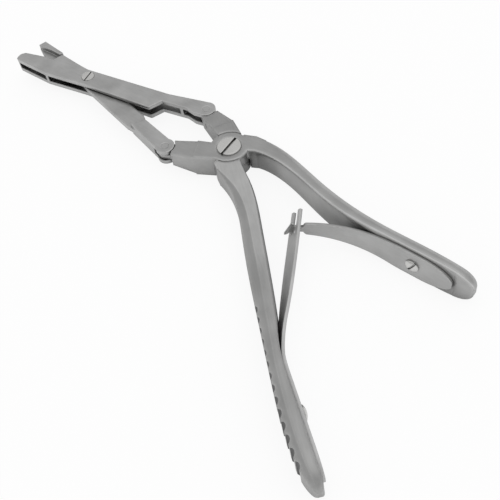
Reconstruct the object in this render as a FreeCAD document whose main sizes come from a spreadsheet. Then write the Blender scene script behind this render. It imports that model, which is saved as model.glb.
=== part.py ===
import FreeCAD, Part
import Sketcher
import math
import os

# Double action nasal septum forceps, lying flat, jaws held open by two leaf springs.
# The origin is on the table, in the middle of the overall box. X runs from the jaws (-X) to the handles (+X),
# Y runs from the lower handle (-Y) to the upper handle (+Y), and Z is up.
# Every jaw, handle and spring is drawn flat about its own mid plane and then placed.

OUT = "parts"
os.makedirs(OUT, exist_ok=True)
Vector = FreeCAD.Vector
doc = FreeCAD.newDocument("septum_forceps")

# Driving dimensions in millimetres and degrees

SIZES = [
    # stack of the pieces about the mid plane
    ("pivot_x", 5.43, "main pivot from the middle of the overall length"),
    ("pivot_y", 25.94, "main pivot from the middle of the overall width"),
    ("rest_height", 5.25, "mid plane above the table, down to the flats under the handles"),
    ("joint_half", 3.5, "half thickness of the main joint"),
    ("jaw_half", 2.3, "half thickness of both jaws"),
    ("slot_half", 1.1, "half width of the slots in the jaws"),
    ("blade_half", 0.8, "half thickness of the tongues and of the male shank"),
    ("lap_half_gap", 0.03, "half of the running gap between the two discs"),
    ("running_gap", 0.3, "free space round moving faces"),
    ("pin_fit", 0.05, "radial running fit of pins and screws"),
    ("pin_seat_fit", 0.02, "radial fit of the arm pins in the forks"),
    ("open_pivot_fit", 0.2, "radial fit of the male jaw on its screw"),
    # four bar layout
    ("arm_reach", 19.4, "main pivot to arm pin"),
    ("bar_reach", 44.3, "jaw pivot to arm pin"),
    ("pin_offset", 9.11, "arm pin to the axis of the instrument, jaws open"),
    ("lower_grip_angle", 38.7, "lower handle below the axis"),
    # main joint
    ("disc_radius", 5.6, "half lap discs"),
    ("main_screw_radius", 1.9, "shank of the main screw"),
    ("main_head_radius", 3.45, "head of the main screw"),
    ("main_head_sink", 0.6, "head let into the disc"),
    ("main_head_rise", 0.35, "head above the disc"),
    ("main_head_rim", 0.2, "bevel round the head"),
    ("main_slot_half", 0.4, "half width of the driver slot"),
    ("main_slot_turn", 63.0, "direction of the driver slot"),
    ("main_slot_depth", 0.55, "driver slot"),
    # arm pins and forks
    ("arm_pin_radius", 1.1, "arm pins"),
    ("fork_radius", 2.8, "rounded fork ends of the jaws"),
    ("tongue_radius", 2.3, "rounded tongues of the arms"),
    ("tongue_root", 14.6, "start of the tongue on the arm"),
    # arms
    ("arm_step_reach", 9.6, "where the arm begins to thin"),
    ("arm_step", 0.35, "small step on the arm"),
    ("arm_root", 1.6, "start of the arm inside the disc"),
    ("upper_arm_in_root", 0.6, "inner edge of the upper arm at the disc"),
    ("upper_arm_in_tip", 2.5, "inner edge of the upper arm at the pin"),
    ("upper_arm_out_root", 5.0, "outer edge of the upper arm at the disc"),
    ("upper_arm_out_tip", 2.7, "outer edge of the upper arm at the pin"),
    ("lower_arm_in_root", 0.9, "inner edge of the lower arm at the disc"),
    ("lower_arm_in_tip", 2.3, "inner edge of the lower arm at the pin"),
    ("lower_arm_out_root", 5.0, "outer edge of the lower arm at the disc"),
    ("lower_arm_out_tip", 3.2, "outer edge of the lower arm at the pin"),
    # jaw screw
    ("jaw_screw_radius", 1.2, "shank of the jaw screw"),
    ("jaw_head_radius", 2.05, "head of the jaw screw"),
    ("jaw_head_sink", 0.5, "head let into the upper plate"),
    ("jaw_head_rise", 0.12, "head above the plate"),
    ("jaw_head_rim", 0.1, "bevel round the head"),
    ("jaw_slot_half", 0.22, "half width of the driver slot"),
    ("jaw_slot_turn", 68.0, "direction of the driver slot"),
    ("jaw_slot_depth", 0.35, "driver slot"),
    # female box jaw, X from the jaw pivot to its arm pin
    ("box_nose", 29.4, "pivot to the nose"),
    ("box_nose_low", 1.0, "nose below the line of pivots"),
    ("box_nose_high", 2.7, "nose above the line of pivots"),
    ("box_nose_back", 28.2, "upper corner of the nose"),
    ("box_nose_brow", 1.5, "top of the nose face above the line of pivots"),
    ("box_wall", 28.4, "inner side of the nose wall"),
    ("box_lip", 3.3, "upper lip of the window"),
    ("box_lip_reach", 20.2, "upper lip of the window"),
    ("box_cheek_reach", 16.4, "front edge of the cheeks"),
    ("box_cheek_foot", 3.0, "foot of the front edge of the cheeks"),
    ("box_cheek_peak", 6.2, "top of the cheeks"),
    ("box_cheek_back", 15.0, "top of the cheeks"),
    ("box_neck_reach", 5.9, "end of the cheek slope"),
    ("box_neck_rise", 3.7, "end of the cheek slope"),
    ("box_rise_pivot", 2.75, "upper edge over the pivot"),
    ("box_pivot_back", 2.0, "upper edge over the pivot"),
    ("box_waist", 30.0, "thinnest place of the upper edge"),
    ("box_waist_rise", 1.7, "thinnest place of the upper edge"),
    ("box_bar_drop", 1.7, "lower edge of the rear bar"),
    ("box_bar_front", 29.3, "front end of the rear bar"),
    ("box_bar_back", 38.2, "start of the fork cheek"),
    ("box_corner_reach", 27.0, "lower corner behind the plates"),
    ("box_corner_drop", 5.5, "lower corner behind the plates"),
    ("box_belly_drop", 3.7, "lower edge under the pivot"),
    ("box_belly_reach", 0.9, "lower edge under the pivot"),
    ("box_bridge_reach", 15.0, "bridge between the two windows"),
    ("box_bridge_half", 0.5, "half width of that bridge"),
    ("box_bridge_drop", 2.4, "top of that bridge"),
    ("box_chin_drop", 3.5, "lower edge at the bridge"),
    ("box_chin_reach", 15.0, "lower edge at the bridge"),
    ("box_web_reach", 36.2, "web between the plates of the rear bar"),
    ("box_web_half", 0.5, "half width of that web"),
    ("box_nose_round", 1.3, "rounding of the nose"),
    ("box_corner_round", 0.8, "rounding of the corner"),
    ("margin", 8.0, "overlong cuts"),
    ("leaf_cut", 64.0, "overlong cut across a bent leaf"),
    # male through jaw, X from the jaw pivot to its arm pin
    ("male_nose", 27.0, "pivot to the nose"),
    ("male_nose_high", 0.95, "upper corner of the nose below the line of pivots"),
    ("male_back_reach", 17.05, "rear end of the thick cup"),
    ("male_back_high", 0.2, "upper edge at the rear of the cup"),
    ("male_back_low", 0.95, "lower edge of the thick cup at its rear"),
    ("male_mid_reach", 21.0, "lower edge of the thick cup"),
    ("male_mid_low", 1.7, "lower edge of the thick cup"),
    ("male_nose_low", 3.45, "lower corner of the thick cup"),
    ("male_bite_low", 3.6, "cutting edge at the nose"),
    ("male_bite_mid", 4.5, "cutting edge at its middle"),
    ("male_bite_mid_reach", 22.5, "cutting edge at its middle"),
    ("male_bite_back", 3.7, "cutting edge at its rear"),
    ("shank_low", 2.9, "lower edge of the shank"),
    ("shank_high", 2.3, "upper edge of the shank"),
    ("flare_reach", 27.2, "rear end of the flare"),
    ("flare_low", 2.9, "flare below the line of pivots"),
    ("flare_high", 3.4, "flare above the line of pivots"),
    ("shoulder_low_reach", 28.5, "shoulder of the bar, lower end"),
    ("shoulder_high_reach", 31.0, "shoulder of the bar, upper end"),
    ("male_bar_half", 2.1, "half height of the bar at the shoulder"),
    ("male_bar_end_half", 2.45, "half height of the bar at the fork"),
    # handles
    ("grip_fall", 0.8, "fall of the bevels along the handles over their width"),
    ("grip_inner_share", 0.24, "width of the inner bevel over that of the outer one"),
    ("upper_shoulder_foot", 0.6, "start of the upper shoulder"),
    ("upper_shoulder_rise", 6.0, "upper shoulder at its start"),
    ("upper_shoulder_mid", 4.1, "upper shoulder, outer corner"),
    ("upper_shoulder_top", 7.4, "upper shoulder, outer corner"),
    ("upper_shoulder_low", 1.7, "upper shoulder, inner corner"),
    ("upper_shoulder_in", 5.4, "upper shoulder, inner corner"),
    ("lower_shoulder_foot", 2.6, "start of the lower shoulder"),
    ("lower_shoulder_low", 2.0, "start of the lower shoulder"),
    ("lower_shoulder_mid", 4.8, "lower shoulder, outer corner"),
    ("lower_shoulder_drop", 5.3, "lower shoulder, outer corner"),
    ("lower_shoulder_in", 5.6, "lower shoulder, inner corner"),
    ("lower_shoulder_high", 1.9, "lower shoulder, inner corner"),
    ("notch_first", 55.3, "first grip notch"),
    ("notch_pitch", 3.05, "spacing of the grip notches"),
    ("notch_radius", 1.15, "grip notches"),
    ("notch_depth", 0.5, "grip notches"),
    ("notch_line", 3.95, "outer face at the first and last notch, from the handle's axis"),
    ("notch_bulge", 0.6, "rise of the outer face between them"),
    ("notch_fall", 0.45, "outer face bending in towards the last notch"),
    # leaf springs and their screws
    ("leaf_thickness", 0.8, "leaf springs"),
    ("leaf_screw_radius", 1.0, "shank of the leaf screws"),
    ("leaf_screw_length", 2.2, "shank inside the handle"),
    ("leaf_head_radius", 1.9, "head of the leaf screws"),
    ("leaf_head_rise", 0.95, "head above the leaf"),
    ("leaf_head_rim", 0.3, "straight rim of the head"),
    ("leaf_slot_half", 0.22, "half width of the driver slot"),
    ("leaf_slot_turn", 30.0, "direction of the driver slot"),
    ("leaf_head_dome", 3.2, "dome of the head"),
    ("leaf_slot_depth", 0.4, "driver slot"),
    ("upper_leaf_screw_reach", 62.6, "main pivot to the screw of the upper leaf"),
    ("upper_leaf_end", 73.4, "main pivot to the fixed end of the upper leaf"),
    ("upper_leaf_lift", 55.0, "where the upper leaf leaves its handle"),
    ("upper_leaf_bend", 42.0, "bend radius of the upper leaf"),
    ("upper_leaf_sweep", 36.9, "angle of the bend of the upper leaf"),
    ("upper_seat_bend", 58.0, "run-out of the seat of the upper leaf"),
    ("lower_seat_turn", 3.5, "direction of the lower seat against its handle's axis"),
    ("lower_seat_bend", 48.0, "run-out of the seat of the lower leaf"),
    ("seat_lead", 14.0, "length of both run-outs"),
    ("upper_face", 3.3, "inner face of the upper handle below the axis"),
    ("upper_leaf_half", 4.3, "half width of the upper leaf at its screw"),
    ("upper_leaf_neck_half", 0.95, "half width of its tongue"),
    ("upper_leaf_wide", 4.6, "full width in front of the screw of the upper leaf"),
    ("upper_leaf_neck", 21.2, "end of its taper, from where it leaves its handle"),
    ("upper_leaf_neck_root_half", 2.0, "half width at the end of its taper"),
    ("upper_leaf_tongue", 0.4, "from the end of its taper to the start of its tongue"),
    ("upper_leaf_bar_half", 2.4, "half width of the cross bar"),
    ("upper_leaf_bar", 0.6, "length of the cross bar"),
    ("lower_leaf_screw_reach", 82.3, "main pivot to the screw of the lower leaf"),
    ("lower_leaf_end", 98.0, "main pivot to the fixed end of the lower leaf"),
    ("lower_leaf_lift", 73.6, "where the lower leaf leaves its handle"),
    ("lower_leaf_bend", 40.0, "bend radius of the lower leaf"),
    ("lower_leaf_sweep", 23.0, "angle of the bend of the lower leaf"),
    ("lower_leaf_free", 32.2, "straight free end of the lower leaf"),
    ("lower_face", 0.75, "inner face of the lower handle below its own axis"),
    ("lower_leaf_wide", 6.3, "full width in front of the screw of the lower leaf"),
    ("lower_leaf_half", 4.3, "half width of the lower leaf at its screw"),
    ("lower_leaf_tip_half", 2.9, "half width at its fork"),
    ("leaf_fork_half", 1.3, "half width of the slot in the fork"),
    ("leaf_fork_depth", 6.5, "length of the slot in the fork"),
    ("leaf_end_half", 1.5, "half width of the rounded fixed ends, at the very end"),
    ("leaf_end_shoulder", 1.1, "rounding of the fixed ends, length of its first facet"),
    ("leaf_end_shoulder_half", 3.1, "half width there"),
    ("leaf_end_round", 3.3, "length of the whole rounding"),
    ("leaf_end_round_half", 4.1, "half width there"),
]

NOTCHES = 14

# Cross sections of the two handles: place along the handle, middle, thickness, half height, outer bevel
UPPER_GRIP = [
    (7.5, 5.15, 4.9, 3.5, 0.3),
    (13.0, 5.35, 4.4, 3.7, 0.8),
    (21.0, 3.95, 4.0, 4.1, 1.4),
    (31.0, 1.15, 3.9, 4.6, 1.6),
    (42.0, -1.05, 3.9, 5.0, 1.7),
    (52.0, -1.7, 3.4, 5.2, 1.6),
    (63.0, -1.75, 3.3, 5.3, 1.5),
    (73.0, -1.85, 3.1, 5.0, 1.4),
    (75.8, -1.9, 2.9, 4.4, 1.2),
    (77.6, -2.0, 2.3, 3.3, 0.8),
    (78.6, -2.1, 1.3, 1.5, 0.4),
]
LOWER_GRIP = [
    (7.5, -1.45, 6.9, 3.5, 0.3),
    (14.0, 0.0, 6.0, 3.6, 1.2),
    (23.0, 0.55, 5.6, 4.0, 2.1),
    (34.0, -0.15, 5.6, 4.5, 2.5),
    (46.0, -0.95, 5.5, 5.0, 2.6),
    (58.0, -1.75, 4.7, 5.2, 2.3),
    (71.0, -2.55, 3.9, 5.3, 1.9),
    (84.0, -2.3, 4.6, 5.3, 1.9),
    (92.0, -1.75, 4.5, 5.15, 1.8),
    (96.0, -1.25, 4.1, 4.75, 1.6),
    (98.5, -0.75, 3.3, 3.9, 1.2),
    (100.0, -0.5, 2.2, 2.6, 0.7),
    (100.6, -0.45, 1.2, 1.2, 0.3),
]
SECTION_WORDS = ("at", "middle", "thick", "half", "bevel")

sheet = doc.addObject("Spreadsheet::Sheet", "Sizes")
VALUES = {}


def enter(name, value, note):
    """Write one named size on the next row of the sheet."""
    row = len(VALUES) + 1
    sheet.set("A%d" % row, name)
    sheet.set("B%d" % row, str(value))
    sheet.set("C%d" % row, note)
    sheet.setAlias("B%d" % row, name)
    VALUES[name] = float(value)


def derive(name, text, value):
    """Write a size that follows from others, as a formula on the sheet and as its value."""
    enter(name, value, "follows from other sizes")
    sheet.set("B%d" % len(VALUES), "=" + text)


for entry in SIZES:
    enter(*entry)
for handle, table in (("upper", UPPER_GRIP), ("lower", LOWER_GRIP)):
    for number, row in enumerate(table):
        for word, value in zip(SECTION_WORDS, row):
            enter("%s_section_%s_%s" % (handle, number, word), value, "handle section")
    middle = "%s_section_0_middle" % handle
    thick = "%s_section_0_thick" % handle
    half = VALUES[thick] / 2
    derive(handle + "_section_0_low", "%s - %s / 2" % (middle, thick), VALUES[middle] - half)
    derive(handle + "_section_0_high", "%s + %s / 2" % (middle, thick), VALUES[middle] + half)
for number in range(NOTCHES):
    along = number / (NOTCHES - 1)
    share = round(4 * along * (1 - along), 4)
    fall = round(along ** 6, 4)
    derive("notch_%d_at" % number, "notch_first + notch_pitch * %d" % number,
           VALUES["notch_first"] + VALUES["notch_pitch"] * number)
    derive("notch_%d_out" % number,
           "notch_depth - notch_radius - notch_line - notch_bulge * %s + notch_fall * %s" % (share, fall),
           VALUES["notch_depth"] - VALUES["notch_radius"] - VALUES["notch_line"]
           - VALUES["notch_bulge"] * share + VALUES["notch_fall"] * fall)
for leaf_name, free in (("upper_leaf", ""), ("lower_leaf", "lower_leaf_free")):
    bend = leaf_name + "_bend"
    sweep = "(%s_sweep * 1deg)" % leaf_name
    turn = math.radians(VALUES[leaf_name + "_sweep"])
    for surface, less in (("back", 0.0), ("face", VALUES["leaf_thickness"])):
        radius = "(%s%s)" % (bend, " - leaf_thickness" if less else "")
        reach = VALUES[bend] - less
        across = "%s * sin%s" % (radius, sweep)
        rise = "%s - %s * cos%s" % (bend, radius, sweep)
        across_value = reach * math.sin(turn)
        rise_value = VALUES[bend] - reach * math.cos(turn)
        derive("%s_%s_x" % (leaf_name, surface), across, across_value)
        derive("%s_%s_y" % (leaf_name, surface), rise, rise_value)
        if free:
            derive("%s_%s_end_x" % (leaf_name, surface), "%s + %s * cos%s" % (across, free, sweep),
                   across_value + VALUES[free] * math.cos(turn))
            derive("%s_%s_end_y" % (leaf_name, surface), "%s + %s * sin%s" % (rise, free, sweep),
                   rise_value + VALUES[free] * math.sin(turn))
for handle in ("upper", "lower"):
    bend = handle + "_seat_bend"
    derive(handle + "_seat_rise", "%s - sqrt(%s ^ 2 - seat_lead ^ 2)" % (bend, bend),
           VALUES[bend] - math.sqrt(VALUES[bend] ** 2 - VALUES["seat_lead"] ** 2))
doc.recompute()


def amount(text):
    """Sum of signed names, such as 'bar_reach - fork_radius'."""
    total = 0.0
    sign = 1.0
    for word in text.replace("-", " - ").replace("+", " + ").split():
        if word == "-":
            sign = -1.0
        elif word == "+":
            sign = 1.0
        else:
            total += sign * (VALUES[word] if word in VALUES else float(word))
            sign = 1.0
    return total


def formula(text):
    """The same sum written for the sheet."""
    words = text.replace("-", " - ").replace("+", " + ").split()
    return " ".join("Sizes." + word if word in VALUES else word for word in words)


def new_body(name, label=None):
    body = doc.addObject("PartDesign::Body", name)
    body.Label = label or name
    return body


def new_sketch(body, name, role="XY_Plane", offset=None, angle=None, axis=(0, 0, 1)):
    """A sketch on one of the body's own origin planes, moved out and turned by named sizes."""
    sketch = body.newObject("Sketcher::SketchObject", name)
    plane = [item for item in body.Origin.OriginFeatures if item.Role == role][0]
    sketch.AttachmentSupport = [(plane, "")]
    sketch.MapMode = "FlatFace"
    if angle is not None:
        sketch.AttachmentOffset = FreeCAD.Placement(
            Vector(0, 0, 0), FreeCAD.Rotation(Vector(*axis), 10.0))
        sketch.setExpression("AttachmentOffset.Rotation.Angle", angle)
    for letter, text in (offset or {}).items():
        sketch.setExpression("AttachmentOffset.Base." + letter, formula(text))
    return sketch


def outline(sketch, corners):
    """A closed outline through named corners.

    A corner is (x, y), or (x, y, radius, side) where the edge that starts there is an arc;
    side is 1 for an arc that bulges to the left of the walk and -1 for one to the right.
    """
    first = sketch.GeometryCount
    count = len(corners)
    places = [Vector(amount(c[0]), amount(c[1]), 0) for c in corners]
    for number, corner in enumerate(corners):
        start = places[number]
        end = places[(number + 1) % count]
        if len(corner) == 2:
            sketch.addGeometry(Part.LineSegment(start, end), False)
            continue
        radius = amount(corner[2])
        chord = end - start
        left = Vector(-chord.y, chord.x, 0).normalize()
        away = math.sqrt(max(radius ** 2 - chord.Length ** 2 / 4, 0.0))
        centre = (start + end) / 2 - left * (away * corner[3])
        first_end, last_end = (end, start) if corner[3] > 0 else (start, end)
        angles = [math.atan2(spot.y - centre.y, spot.x - centre.x) for spot in (first_end, last_end)]
        if angles[1] < angles[0]:
            angles[1] += 2 * math.pi
        rim = Part.Circle(centre, Vector(0, 0, 1), radius)
        sketch.addGeometry(Part.ArcOfCircle(rim, angles[0], angles[1]), False)
    starts = []
    ends = []
    for number in range(count):
        item = sketch.Geometry[first + number]
        turned = (item.StartPoint - places[number]).Length > (item.EndPoint - places[number]).Length
        starts.append(2 if turned else 1)
        ends.append(1 if turned else 2)
    wanted = []
    for number, corner in enumerate(corners):
        line = first + number
        after = (number + 1) % count
        wanted.append((Sketcher.Constraint("Coincident", line, ends[number],
                                           first + after, starts[after]), None))
        for kind, text in (("DistanceX", corner[0]), ("DistanceY", corner[1])):
            fixed = Sketcher.Constraint(kind, -1, 1, line, starts[number], amount(text))
            wanted.append((fixed, text))
        if len(corner) > 2:
            wanted.append((Sketcher.Constraint("Radius", line, amount(corner[2])), corner[2]))
    numbers = sketch.addConstraint([item for item, text in wanted])
    for number, (item, text) in zip(numbers, wanted):
        if text is not None:
            sketch.setExpression("Constraints[%d]" % number, formula(text))


def circle(sketch, x_text, y_text, radius_text):
    place_of = Vector(amount(x_text), amount(y_text), 0)
    radius = amount(radius_text)
    index = sketch.addGeometry(Part.Circle(place_of, Vector(0, 0, 1), radius), False)
    numbers = sketch.addConstraint([
        Sketcher.Constraint("DistanceX", -1, 1, index, 3, place_of.x),
        Sketcher.Constraint("DistanceY", -1, 1, index, 3, place_of.y),
        Sketcher.Constraint("Radius", index, radius),
    ])
    for number, text in zip(numbers, (x_text, y_text, radius_text)):
        sketch.setExpression("Constraints[%d]" % number, formula(text))


def pad(body, name, sketch, length, both=True, back=False):
    feature = body.newObject("PartDesign::Pad", name)
    feature.Profile = sketch
    feature.SideType = "Symmetric" if both else "One side"
    feature.Reversed = back
    feature.setExpression("Length", length)
    sketch.Visibility = False
    return feature


def pocket(body, name, sketch, length, both=True, back=False):
    feature = body.newObject("PartDesign::Pocket", name)
    feature.Profile = sketch
    feature.SideType = "Symmetric" if both else "One side"
    feature.Reversed = back
    feature.setExpression("Length", length)
    sketch.Visibility = False
    return feature


def twice(text):
    return "2 * (%s)" % formula(text)


def upright_edges(base, corners):
    """Names of the edges along Z that stand at the given corners."""
    names = []
    for number, edge in enumerate(base.Shape.Edges):
        ends = [vertex.Point for vertex in edge.Vertexes]
        if len(ends) != 2 or abs(ends[0].z - ends[1].z) < 0.2:
            continue
        for corner in corners:
            spot = Vector(amount(corner[0]), amount(corner[1]), 0)
            away = [math.hypot(end.x - spot.x, end.y - spot.y) for end in ends]
            if max(away) < 0.02:
                names.append("Edge%d" % (number + 1))
    return names


def rounding(body, name, base, edges, radius):
    feature = body.newObject("PartDesign::Fillet", name)
    feature.Base = (base, edges)
    feature.setExpression("Radius", formula(radius))
    return feature


def place(body, x="0", y="0", z="Sizes.rest_height", angle=None, axis=(0, 0, 1)):
    """Bind the placement of a body to named sizes; x and y count from the main pivot."""
    if angle is not None:
        body.Placement = FreeCAD.Placement(
            Vector(0, 0, 0), FreeCAD.Rotation(Vector(*axis), 10.0))
        body.setExpression("Placement.Rotation.Angle", angle)
    body.setExpression("Placement.Base.x", "Sizes.pivot_x + (%s)" % x)
    body.setExpression("Placement.Base.y", "Sizes.pivot_y + (%s)" % y)
    body.setExpression("Placement.Base.z", z)


# Angles and places that follow from the four bar layout
ARM_ANGLE = "asin(Sizes.pin_offset / Sizes.arm_reach)"
BAR_ANGLE = "asin(Sizes.pin_offset / Sizes.bar_reach)"
PIN_X = "-sqrt(Sizes.arm_reach ^ 2 - Sizes.pin_offset ^ 2)"
JAW_X = PIN_X + " - sqrt(Sizes.bar_reach ^ 2 - Sizes.pin_offset ^ 2)"


def jaw_pocket_box(sketch, low, high):
    """A rectangle right across a jaw between two places along it."""
    outline(sketch, [(low, "-margin"), (high, "-margin"), (high, "margin"), (low, "margin")])


# Female box jaw: two plates with a slot between them, closed at the nose

box_jaw = new_body("box_jaw")
sketch = new_sketch(box_jaw, "box_plan")
outline(sketch, [
    ("-box_nose", "-box_nose_low"),
    ("-box_chin_reach", "-box_chin_drop"),
    ("box_belly_reach", "-box_belly_drop"),
    ("box_corner_reach", "-box_corner_drop"),
    ("box_bar_front", "-box_bar_drop"),
    ("box_bar_back", "-box_bar_drop"),
    ("bar_reach - fork_radius", "-fork_radius"),
    ("bar_reach", "-fork_radius"),
    ("bar_reach", "fork_radius"),
    ("box_waist", "box_waist_rise"),
    ("-box_pivot_back", "box_rise_pivot"),
    ("-box_neck_reach", "box_neck_rise"),
    ("-box_cheek_back", "box_cheek_peak"),
    ("-box_cheek_reach", "box_cheek_foot"),
    ("-box_lip_reach", "box_lip"),
    ("-box_nose_back", "box_nose_high"),
    ("-box_nose", "box_nose_brow"),
])
plates = pad(box_jaw, "box_plates", sketch, twice("jaw_half"))
sketch = new_sketch(box_jaw, "box_fork_plan")
circle(sketch, "bar_reach", "0", "fork_radius")
fork = pad(box_jaw, "box_fork", sketch, twice("jaw_half"))
doc.recompute()
soft = rounding(box_jaw, "box_nose_soft", fork, upright_edges(fork, [
    ("-box_nose", "-box_nose_low"), ("-box_nose", "box_nose_brow"),
    ("-box_nose_back", "box_nose_high")]), "box_nose_round")
doc.recompute()
soft = rounding(box_jaw, "box_corner_soft", soft, upright_edges(soft, [
    ("box_corner_reach", "-box_corner_drop"), ("-box_cheek_back", "box_cheek_peak")]),
    "box_corner_round")
sketch = new_sketch(box_jaw, "box_slot_plan")
outline(sketch, [
    ("-box_wall", "-margin"),
    ("-box_bridge_reach - box_bridge_half", "-margin"),
    ("-box_bridge_reach - box_bridge_half", "-box_bridge_drop"),
    ("-box_bridge_reach + box_bridge_half", "-box_bridge_drop"),
    ("-box_bridge_reach + box_bridge_half", "-margin"),
    ("box_web_reach - box_web_half", "-margin"),
    ("box_web_reach - box_web_half", "margin"),
    ("-box_wall", "margin"),
])
jaw_pocket_box(sketch, "box_web_reach + box_web_half", "bar_reach + margin")
pocket(box_jaw, "box_slot", sketch, twice("slot_half"))
sketch = new_sketch(box_jaw, "box_bores")
circle(sketch, "0", "0", "jaw_screw_radius + pin_fit")
circle(sketch, "bar_reach", "0", "arm_pin_radius + pin_seat_fit")
pocket(box_jaw, "box_bore", sketch, twice("margin"))
sketch = new_sketch(box_jaw, "box_sink_plan", offset={"z": "jaw_half"})
circle(sketch, "0", "0", "jaw_head_radius + pin_fit")
pocket(box_jaw, "box_sink", sketch, formula("jaw_head_sink"), both=False)
place(box_jaw, x=JAW_X, angle=BAR_ANGLE)

# Male through jaw: thick cup, thin shank that swings in the slot, thick rear bar

through_jaw = new_body("through_jaw")
sketch = new_sketch(through_jaw, "shank_plan")
outline(sketch, [
    ("-male_nose", "-male_bite_low"),
    ("-male_bite_mid_reach", "-male_bite_mid"),
    ("-male_back_reach", "-male_bite_back"),
    ("-jaw_screw_radius", "-shank_low"),
    ("flare_reach", "-flare_low"),
    ("shoulder_high_reach", "-male_bar_half"),
    ("shoulder_high_reach", "male_bar_half"),
    ("flare_reach", "flare_high"),
    ("0", "shank_high"),
    ("-male_back_reach", "male_back_high"),
    ("-male_nose", "-male_nose_high"),
])
pad(through_jaw, "shank", sketch, twice("blade_half"))
sketch = new_sketch(through_jaw, "cup_plan")
outline(sketch, [
    ("-male_nose", "-male_nose_low"),
    ("-male_mid_reach", "-male_mid_low"),
    ("-male_back_reach", "-male_back_low"),
    ("-male_back_reach", "male_back_high"),
    ("-male_nose", "-male_nose_high"),
])
pad(through_jaw, "cup", sketch, twice("jaw_half"))
sketch = new_sketch(through_jaw, "bar_plan")
outline(sketch, [
    ("shoulder_low_reach", "-male_bar_half"),
    ("bar_reach", "-male_bar_end_half"),
    ("bar_reach", "male_bar_end_half"),
    ("shoulder_high_reach", "male_bar_half", "margin", 1),
])
pad(through_jaw, "bar", sketch, twice("jaw_half"))
sketch = new_sketch(through_jaw, "male_fork_plan")
circle(sketch, "bar_reach", "0", "fork_radius")
fork = pad(through_jaw, "male_fork", sketch, twice("jaw_half"))
doc.recompute()
soft = rounding(through_jaw, "flare_soft", fork, upright_edges(fork, [
    ("flare_reach", "flare_high")]), "box_corner_round")
sketch = new_sketch(through_jaw, "male_slot_plan")
jaw_pocket_box(sketch, "bar_reach - tongue_radius - running_gap - running_gap",
               "bar_reach + margin")
pocket(through_jaw, "male_slot", sketch, twice("slot_half"))
sketch = new_sketch(through_jaw, "male_bores")
circle(sketch, "0", "0", "jaw_screw_radius + open_pivot_fit")
circle(sketch, "bar_reach", "0", "arm_pin_radius + pin_seat_fit")
pocket(through_jaw, "male_bore", sketch, twice("margin"))
place(through_jaw, x=JAW_X, angle="-" + BAR_ANGLE)


def grip_loft(body, handle, outward, count):
    """The handle behind the joint, lofted through its sections.

    Each section has a wide bevel on the outer side and a narrow one on the inner side, above
    and below; outward is the sign of the outer side."""
    inward = "-" if outward == "" else ""
    corners = [
        (outward, 0.0, "", 1.0), (outward, 1.0, "", 0.0), (inward, "inner", "", 0.0),
        (inward, 0.0, "", "inner"), (inward, 0.0, "-", "inner"), (inward, "inner", "-", 0.0),
        (outward, 1.0, "-", 0.0), (outward, 0.0, "-", 1.0),
    ]
    sections = []
    for number in range(count):
        name = "%s_section_%s_" % (handle, number)
        sketch = new_sketch(body, name + "plan", role="YZ_Plane",
                            offset={"z": name + "at", "x": name + "middle"})
        ring = []
        for side, cut, level, fall in corners:
            spot = []
            texts = []
            for sign, size, part, steep in ((side, "thick / 2", cut, ""),
                                            (level, "half", fall, " * Sizes.grip_fall")):
                value = VALUES[name + size.split()[0]] / (2 if "/" in size else 1)
                text = "Sizes.%s%s" % (name, size)
                if part:
                    share = VALUES["grip_inner_share"] if part == "inner" else 1.0
                    share *= VALUES["grip_fall"] if steep else 1.0
                    value -= VALUES[name + "bevel"] * share
                    text += " - Sizes.%sbevel%s" % (name, steep)
                    text += " * Sizes.grip_inner_share" if part == "inner" else ""
                spot.append(-value if sign == "-" else value)
                texts.append("%s(%s)" % (sign, text))
            ring.append((Vector(spot[0], spot[1], 0), texts))
        for first in range(len(ring)):
            line = Part.LineSegment(ring[first][0], ring[(first + 1) % len(ring)][0])
            sketch.addGeometry(line, False)
        for first, (spot, texts) in enumerate(ring):
            sketch.addConstraint(
                Sketcher.Constraint("Coincident", first, 2, (first + 1) % len(ring), 1))
            for kind, text, value in zip(("DistanceX", "DistanceY"), texts, (spot.x, spot.y)):
                index = sketch.addConstraint(Sketcher.Constraint(kind, -1, 1, first, 1, value))
                sketch.setExpression("Constraints[%d]" % index, text)
        sections.append(sketch)
    loft = body.newObject("PartDesign::AdditiveLoft", handle + "_grip")
    loft.Profile = sections[0]
    loft.Sections = sections[1:]
    loft.Ruled = False
    return loft


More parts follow.
